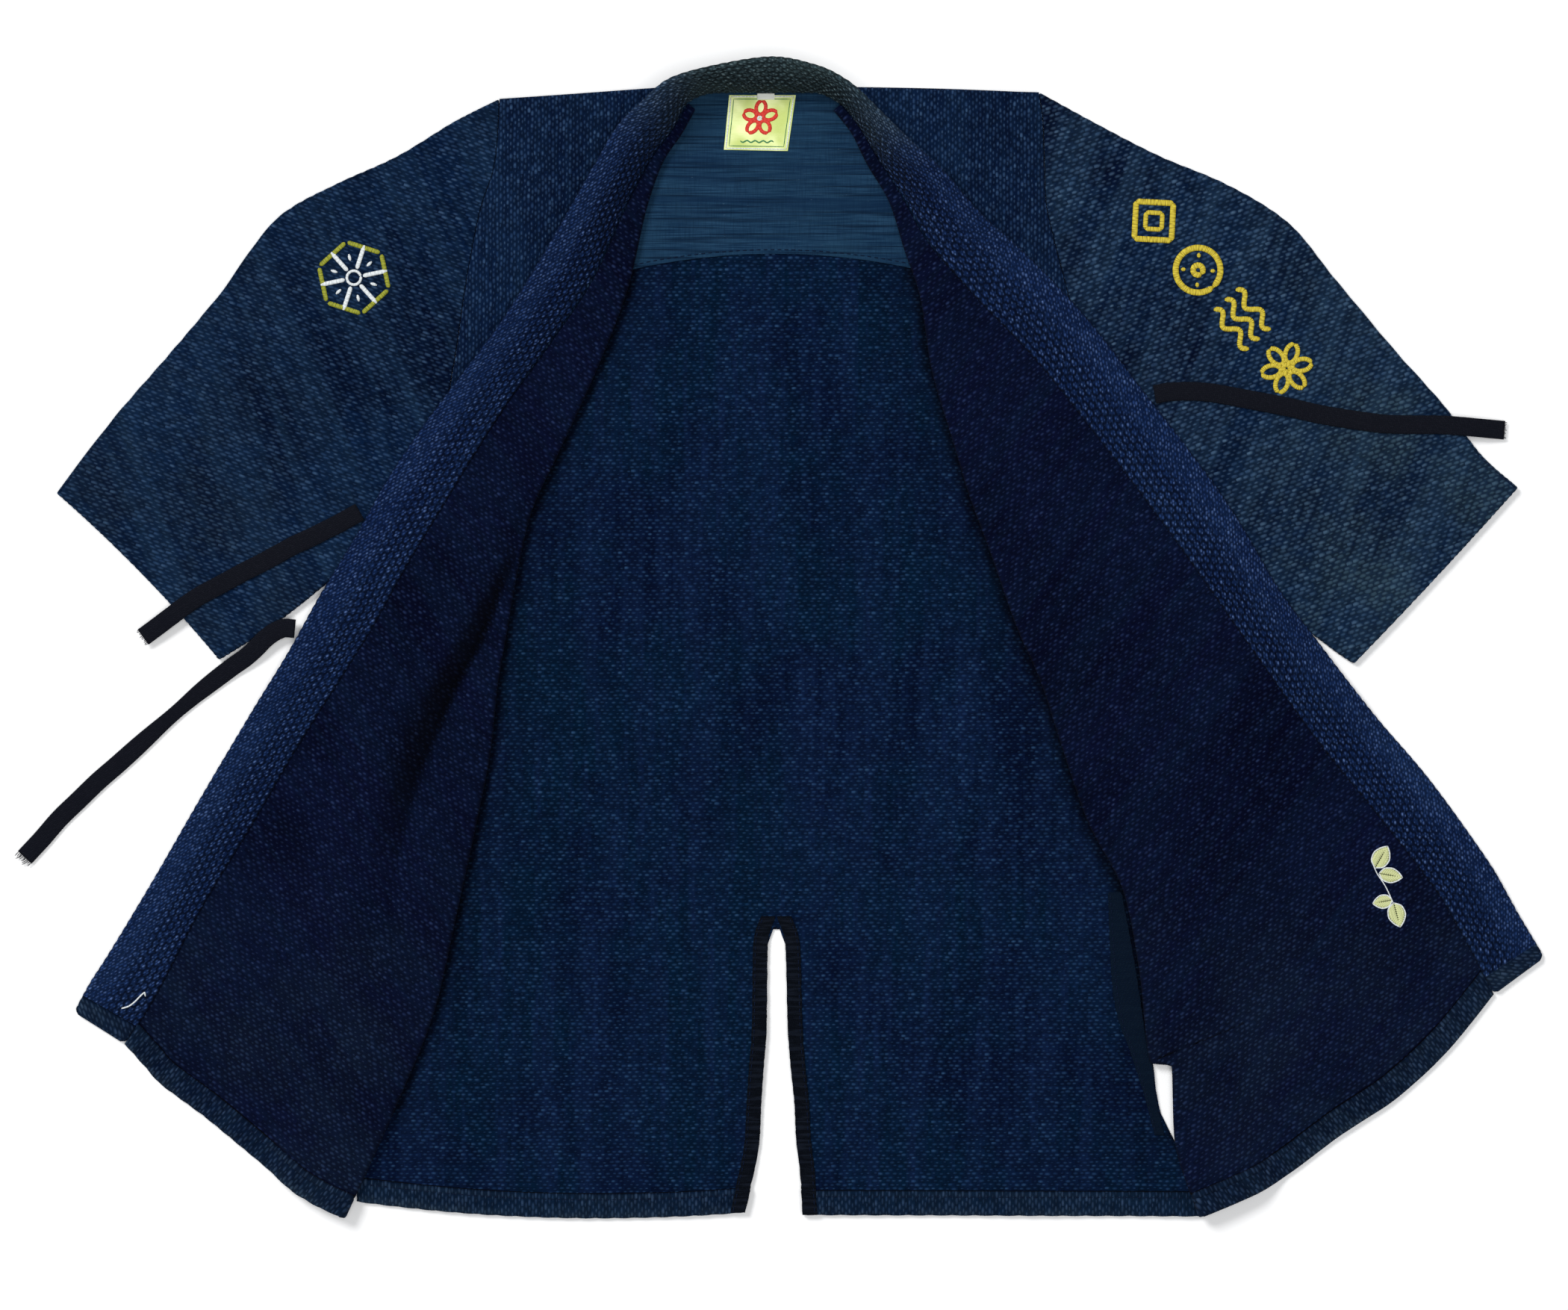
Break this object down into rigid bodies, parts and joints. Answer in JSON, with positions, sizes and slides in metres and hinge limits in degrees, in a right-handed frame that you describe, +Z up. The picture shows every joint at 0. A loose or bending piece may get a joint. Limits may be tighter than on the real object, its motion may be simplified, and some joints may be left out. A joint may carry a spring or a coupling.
{
  "type": "kendo jacket laid open on its back",
  "caption": "Woven cotton jacket with a ribbed collar band, wide sleeves and ties, lying on its back with both fronts turned open.",
  "frame": {"origin": "middle of the outline at the floor, on the underside of the back panel, measured without the ties", "axes": "+X towards the wearer's left sleeve, +Y towards the neck, +Z up from the floor"},
  "size_m": [1.1441, 0.8667, 0.0454],
  "materials": {
    "inner_face": "dark indigo woven cotton, inner face, small raised dots in rows",
    "sleeve_cloth": "indigo woven cotton, outer face, coarse slanted grain with faded patches",
    "collar_cloth": "indigo ribbed cotton band with bold chain-like ribs along it",
    "lining": "plain-woven blue cotton lining with faint cross slubs",
    "label": "satin label, gold-green with dark woven figures",
    "tape": "black cotton binding tape",
    "tie": "near-black flat cotton tie"
  },
  "bodies": {
    "root": {"back": "inner_face", "yoke_lining": "lining", "label": "label", "size_tab": "label", "centre_slit_tape_right": "tape", "centre_slit_tape_left": "tape", "side_slit_tape_left": "tape", "sleeve_right": "sleeve_cloth", "sleeve_left": "sleeve_cloth", "front_right": "inner_face", "front_left": "inner_face", "collar": "collar_cloth", "tie_right_upper": "tie", "tie_right_lower": "tie", "tie_left": "tie"}
  },
  "joints": []
}
